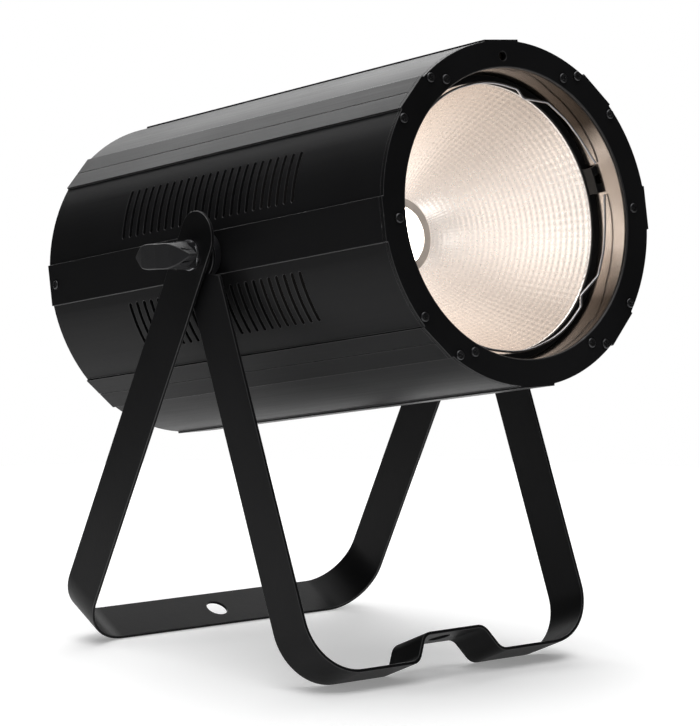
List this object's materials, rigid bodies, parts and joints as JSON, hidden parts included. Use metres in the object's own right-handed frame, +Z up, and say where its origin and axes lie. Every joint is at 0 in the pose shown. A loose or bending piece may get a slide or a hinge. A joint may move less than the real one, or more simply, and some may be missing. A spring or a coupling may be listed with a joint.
{
  "type": "par can light",
  "caption": "Round black par can stage light with a deep reflector, tilting in two flat-bar yokes held by winged knobs, standing on both.",
  "frame": {"origin": "middle of the whole object's box, on the floor that both yokes stand on", "axes": "+X along the tilt axis, light output towards -Y and slightly up, +Z up"},
  "size_m": [0.2692, 0.3664, 0.3644],
  "materials": {
    "black_shell": "satin black powder coat on extruded aluminium",
    "black_steel": "satin black powder coat",
    "polished_tube": "polished",
    "reflector_metal": "bright, finely faceted",
    "foam": "matt",
    "black_screw": "black zinc",
    "zinc_steel": "zinc plated",
    "brass": "turned",
    "knob_plastic": "fine moulded texture",
    "black_plastic": "moulded",
    "button_rubber": "satin",
    "display_glass": "clear glossy window over a dark display",
    "bare_aluminium": "clear anodised",
    "led_glass": "frosted glass, lit",
    "led_emitter": "phosphor on white board",
    "circuit_board": "solder mask",
    "supply_case": "plain sheet"
  },
  "bodies": {
    "housing": {"bottom_shell": "black_shell", "chassis_plate": "black_steel", "chassis_rod_screws": "zinc_steel", "chassis_rods": "zinc_steel", "control_board": "circuit_board", "cover_side_screws": "black_screw", "data_inlet": "black_plastic", "data_outlet": "black_plastic", "display_window": "display_glass", "fan_frame": "black_plastic", "fan_screws": "zinc_steel", "friction_washer_left": "black_plastic", "friction_washer_right": "black_plastic", "front_gasket": "foam", "front_ring": "black_steel", "front_ring_screws": "black_screw", "fuse_cap": "black_plastic", "heat_sink": "bare_aluminium", "knob_washer_left": "zinc_steel", "knob_washer_right": "zinc_steel", "lamp_bulkhead": "zinc_steel", "led_board": "led_emitter", "led_holder": "bare_aluminium", "led_window": "led_glass", "mirror_tube": "polished_tube", "pivot_backing_plate_left": "zinc_steel", "pivot_backing_plate_right": "zinc_steel", "pivot_spacer_left": "black_plastic", "pivot_spacer_right": "black_plastic", "pivot_stud_left": "zinc_steel", "pivot_stud_right": "zinc_steel", "power_inlet": "black_plastic", "power_outlet": "black_plastic", "power_supply": "supply_case", "rear_cover": "black_steel", "reflector": "reflector_metal", "reflector_retainer": "black_steel", "safety_eye": "zinc_steel", "side_shell_left": "black_shell", "side_shell_right": "black_shell", "socket_screws": "black_screw", "spring_ring": "zinc_steel", "top_shell": "black_shell"},
    "fan": {"fan_rotor": "black_plastic"},
    "menu_button": {"menu_button": "button_rubber"},
    "up_button": {"up_button": "button_rubber"},
    "down_button": {"down_button": "button_rubber"},
    "enter_button": {"enter_button": "button_rubber"},
    "outer_bracket": {"outer_bracket": "black_steel"},
    "inner_bracket": {"inner_bracket": "black_steel"},
    "knob_left": {"clamp_knob_left": "knob_plastic", "knob_insert_left": "brass"},
    "knob_right": {"clamp_knob_right": "knob_plastic", "knob_insert_right": "brass"}
  },
  "joints": [
    {"name": "outer_bracket_tilt", "type": "hinge", "parent": "housing", "child": "outer_bracket", "pos_m": [0, -0.00734, 0.2415], "axis": [1, 0, 0], "continuous": true},
    {"name": "inner_bracket_tilt", "type": "hinge", "parent": "housing", "child": "inner_bracket", "pos_m": [0, -0.00734, 0.2415], "axis": [1, 0, 0], "continuous": true},
    {"name": "knob_turn_left", "type": "hinge", "parent": "housing", "child": "knob_left", "pos_m": [-0.118, -0.00734, 0.2415], "axis": [-1, 0, 0], "range_deg": [0, 360]},
    {"name": "knob_turn_right", "type": "hinge", "parent": "housing", "child": "knob_right", "pos_m": [0.118, -0.00734, 0.2415], "axis": [1, 0, 0], "range_deg": [0, 360]},
    {"name": "fan_spin", "type": "hinge", "parent": "housing", "child": "fan", "pos_m": [0, 0.04491, 0.23266], "axis": [0, -0.986, 0.1668], "continuous": true},
    {"name": "menu_button_press", "type": "slide", "parent": "housing", "child": "menu_button", "axis": [0, -0.986, 0.1668], "range_m": [0, 0.0009], "stiffness_N_per_m": 400, "springref_m": -0.0006},
    {"name": "down_button_press", "type": "slide", "parent": "housing", "child": "down_button", "axis": [0, -0.986, 0.1668], "range_m": [0, 0.0009], "stiffness_N_per_m": 400, "springref_m": -0.0006},
    {"name": "up_button_press", "type": "slide", "parent": "housing", "child": "up_button", "axis": [0, -0.986, 0.1668], "range_m": [0, 0.0009], "stiffness_N_per_m": 400, "springref_m": -0.0006},
    {"name": "enter_button_press", "type": "slide", "parent": "housing", "child": "enter_button", "axis": [0, -0.986, 0.1668], "range_m": [0, 0.0009], "stiffness_N_per_m": 400, "springref_m": -0.0006}
  ]
}
